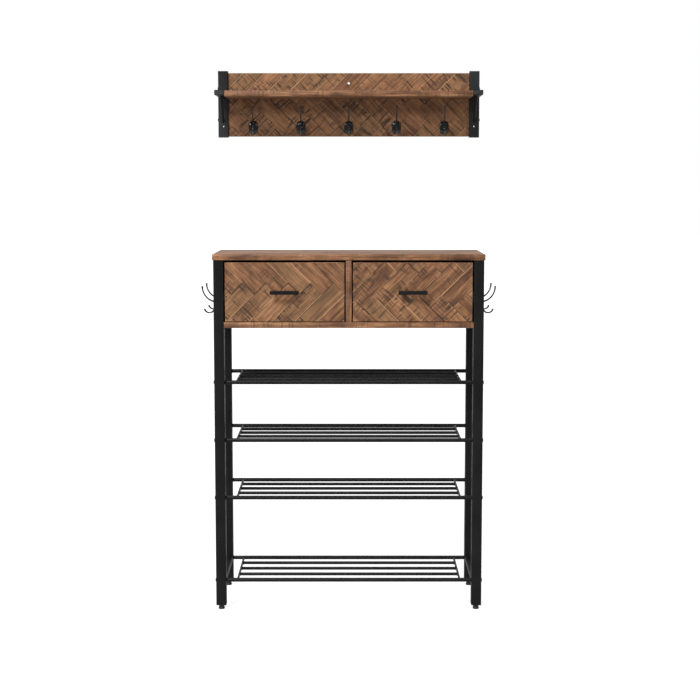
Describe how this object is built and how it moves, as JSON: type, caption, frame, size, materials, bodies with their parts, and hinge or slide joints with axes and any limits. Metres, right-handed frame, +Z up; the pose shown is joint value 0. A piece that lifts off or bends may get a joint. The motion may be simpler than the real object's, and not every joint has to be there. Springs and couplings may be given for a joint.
{
  "type": "hall tree",
  "caption": "Entryway storage set: drawer case on square legs with rod shoe racks and side hooks, and a wall panel with a shelf and coat hooks.",
  "frame": {"origin": "floor level, midway across the width and midway between the handles' fronts and the wall plane", "axes": "+X to the right seen from the front, +Y towards the wall, +Z up"},
  "size_m": [0.9352, 0.326, 1.716],
  "materials": {
    "black_steel": "satin powder coat",
    "black_gloss": "gloss",
    "brown_wood": "matt rustic brown",
    "drawer_board": "matt",
    "zinc_steel": "zinc plated",
    "black_plastic": "matt"
  },
  "bodies": {
    "frame": {"leg_front_left": "black_steel", "leg_front_right": "black_steel", "leg_back_left": "black_steel", "leg_back_right": "black_steel", "side_rail_left": "black_steel", "side_rail_right": "black_steel", "glides": "black_plastic", "top_board": "brown_wood", "bottom_board": "brown_wood", "side_panel_left": "brown_wood", "side_panel_right": "brown_wood", "back_panel": "drawer_board", "divider": "brown_wood", "case_dowels": "brown_wood", "case_screws": "zinc_steel", "runner_spacers": "drawer_board", "case_runners_left": "zinc_steel", "case_runners_right": "zinc_steel", "rack_bottom": "black_steel", "rack_second": "black_steel", "rack_third": "black_steel", "rack_top": "black_steel", "rack_bolts": "black_steel", "side_hook_left_front": "black_gloss", "side_hook_left_back": "black_gloss", "side_hook_right_front": "black_gloss", "side_hook_right_back": "black_gloss", "upright_left": "black_steel", "upright_right": "black_steel", "tube_plugs": "black_plastic", "wall_panel": "brown_wood", "wall_shelf": "brown_wood", "arm_left": "black_steel", "arm_right": "black_steel", "brace_left": "black_steel", "brace_right": "black_steel", "wall_hook_1": "black_gloss", "wall_hook_2": "black_gloss", "wall_hook_3": "black_gloss", "wall_hook_4": "black_gloss", "wall_hook_5": "black_gloss", "hook_bolts": "zinc_steel", "panel_screws": "black_steel", "shelf_screws": "zinc_steel"},
    "left_drawer": {"drawer_left_front": "brown_wood", "drawer_left_sides": "drawer_board", "drawer_left_back": "drawer_board", "drawer_left_bottom": "drawer_board", "drawer_left_runners": "zinc_steel", "drawer_left_handle": "black_steel", "drawer_left_screws": "zinc_steel"},
    "right_drawer": {"drawer_right_front": "brown_wood", "drawer_right_sides": "drawer_board", "drawer_right_back": "drawer_board", "drawer_right_bottom": "drawer_board", "drawer_right_runners": "zinc_steel", "drawer_right_handle": "black_steel", "drawer_right_screws": "zinc_steel"}
  },
  "joints": [
    {"name": "left_drawer_slide", "type": "slide", "parent": "frame", "child": "left_drawer", "axis": [0, -1, 0], "range_m": [0, 0.185]},
    {"name": "right_drawer_slide", "type": "slide", "parent": "frame", "child": "right_drawer", "axis": [0, -1, 0], "range_m": [0, 0.185]}
  ]
}
